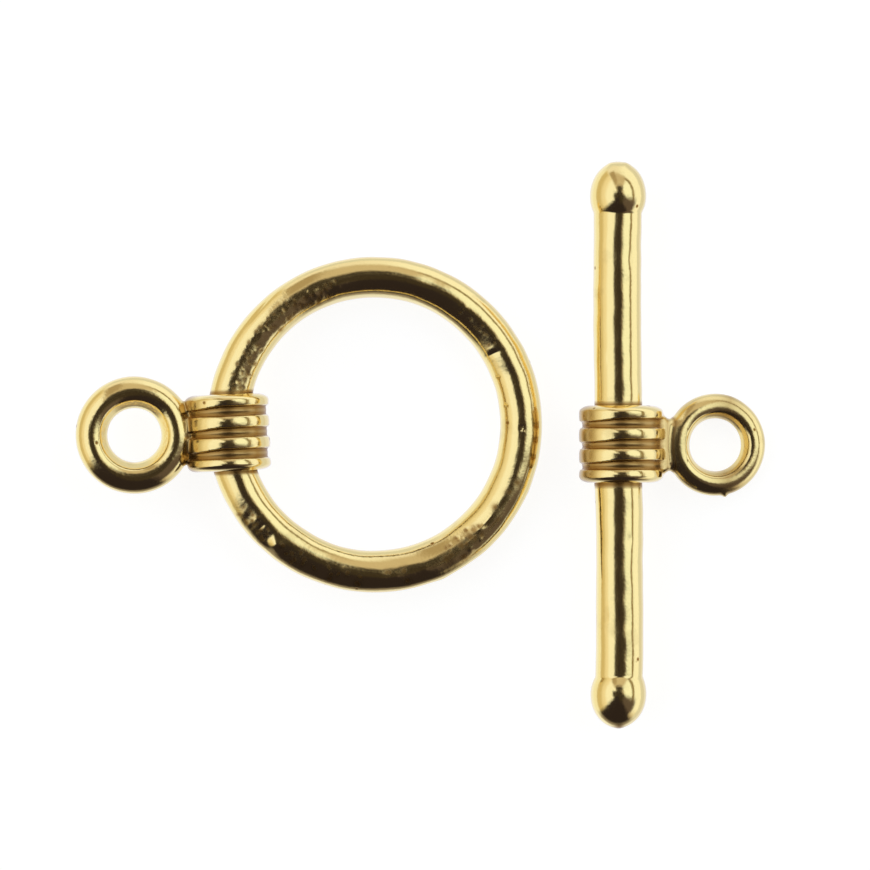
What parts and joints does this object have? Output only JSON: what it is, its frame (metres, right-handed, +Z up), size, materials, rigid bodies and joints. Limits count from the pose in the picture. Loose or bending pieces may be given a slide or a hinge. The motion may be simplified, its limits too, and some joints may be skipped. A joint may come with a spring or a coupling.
{
  "type": "toggle clasp",
  "caption": "Gold-coloured toggle clasp: a round ring half and a straight ball-ended bar half, each with a wrapped collar and an eye.",
  "frame": {"origin": "on the surface that both halves lie on, under the middle of their common box", "axes": "+X from the ring half's eye to the bar half's eye, +Y along the bar, +Z up"},
  "size_m": [0.0246, 0.0202, 0.003],
  "materials": {
    "ring": "bright gold-coloured plate on a casting, with fine pits",
    "ring_collar": "bright gold-coloured plate, darker in the grooves between the turns",
    "bar": "bright gold-coloured plate on a casting, with fine pits",
    "bar_collar": "bright gold-coloured plate, darker in the grooves between the turns"
  },
  "bodies": {
    "root": {"ring": "ring", "ring_collar": "ring_collar", "bar": "bar", "bar_collar": "bar_collar"}
  },
  "joints": []
}
